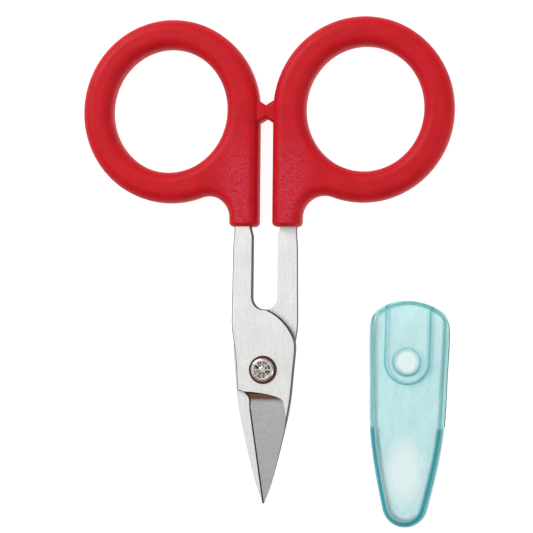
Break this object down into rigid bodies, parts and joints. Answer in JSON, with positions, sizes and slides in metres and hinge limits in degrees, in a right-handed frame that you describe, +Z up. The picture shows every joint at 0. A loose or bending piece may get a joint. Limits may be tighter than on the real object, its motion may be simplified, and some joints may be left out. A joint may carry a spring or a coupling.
{
  "type": "thread snips",
  "caption": "Small embroidery snips with two riveted steel blades, moulded ring finger grips and a slip-on translucent blade cover.",
  "frame": {"origin": "centre of the whole set's footprint, at table height", "axes": "+Y from the blade tips towards the handles, +X towards the hand half whose blade lies underneath and the cover, +Z up from the table"},
  "size_m": [0.0886, 0.119, 0.0087],
  "materials": {
    "blade_steel": "lengthwise satin brushed stainless steel",
    "grip_plastic": "red moulded plastic with a fine pebble grain",
    "rivet_steel": "bright rivet with a star-punched head",
    "washer_steel": "plain spring steel",
    "cover_plastic": "translucent aqua moulded plastic"
  },
  "bodies": {
    "front_half": {"front_blade": "blade_steel", "left_grip": "grip_plastic", "pivot_rivet": "rivet_steel", "pivot_washer": "washer_steel"},
    "back_half": {"back_blade": "blade_steel", "right_grip": "grip_plastic"},
    "cover": {"blade_cover": "cover_plastic"}
  },
  "joints": [
    {"name": "blades_pivot", "type": "hinge", "parent": "front_half", "child": "back_half", "pos_m": [0, -0.0235, 0.0035], "axis": [0, 0, -1], "range_deg": [0, 42]},
    {"name": "cover_pull", "type": "slide", "parent": "front_half", "child": "cover", "axis": [-0.0197, -0.9998, 0], "range_m": [0, 0.06]}
  ]
}
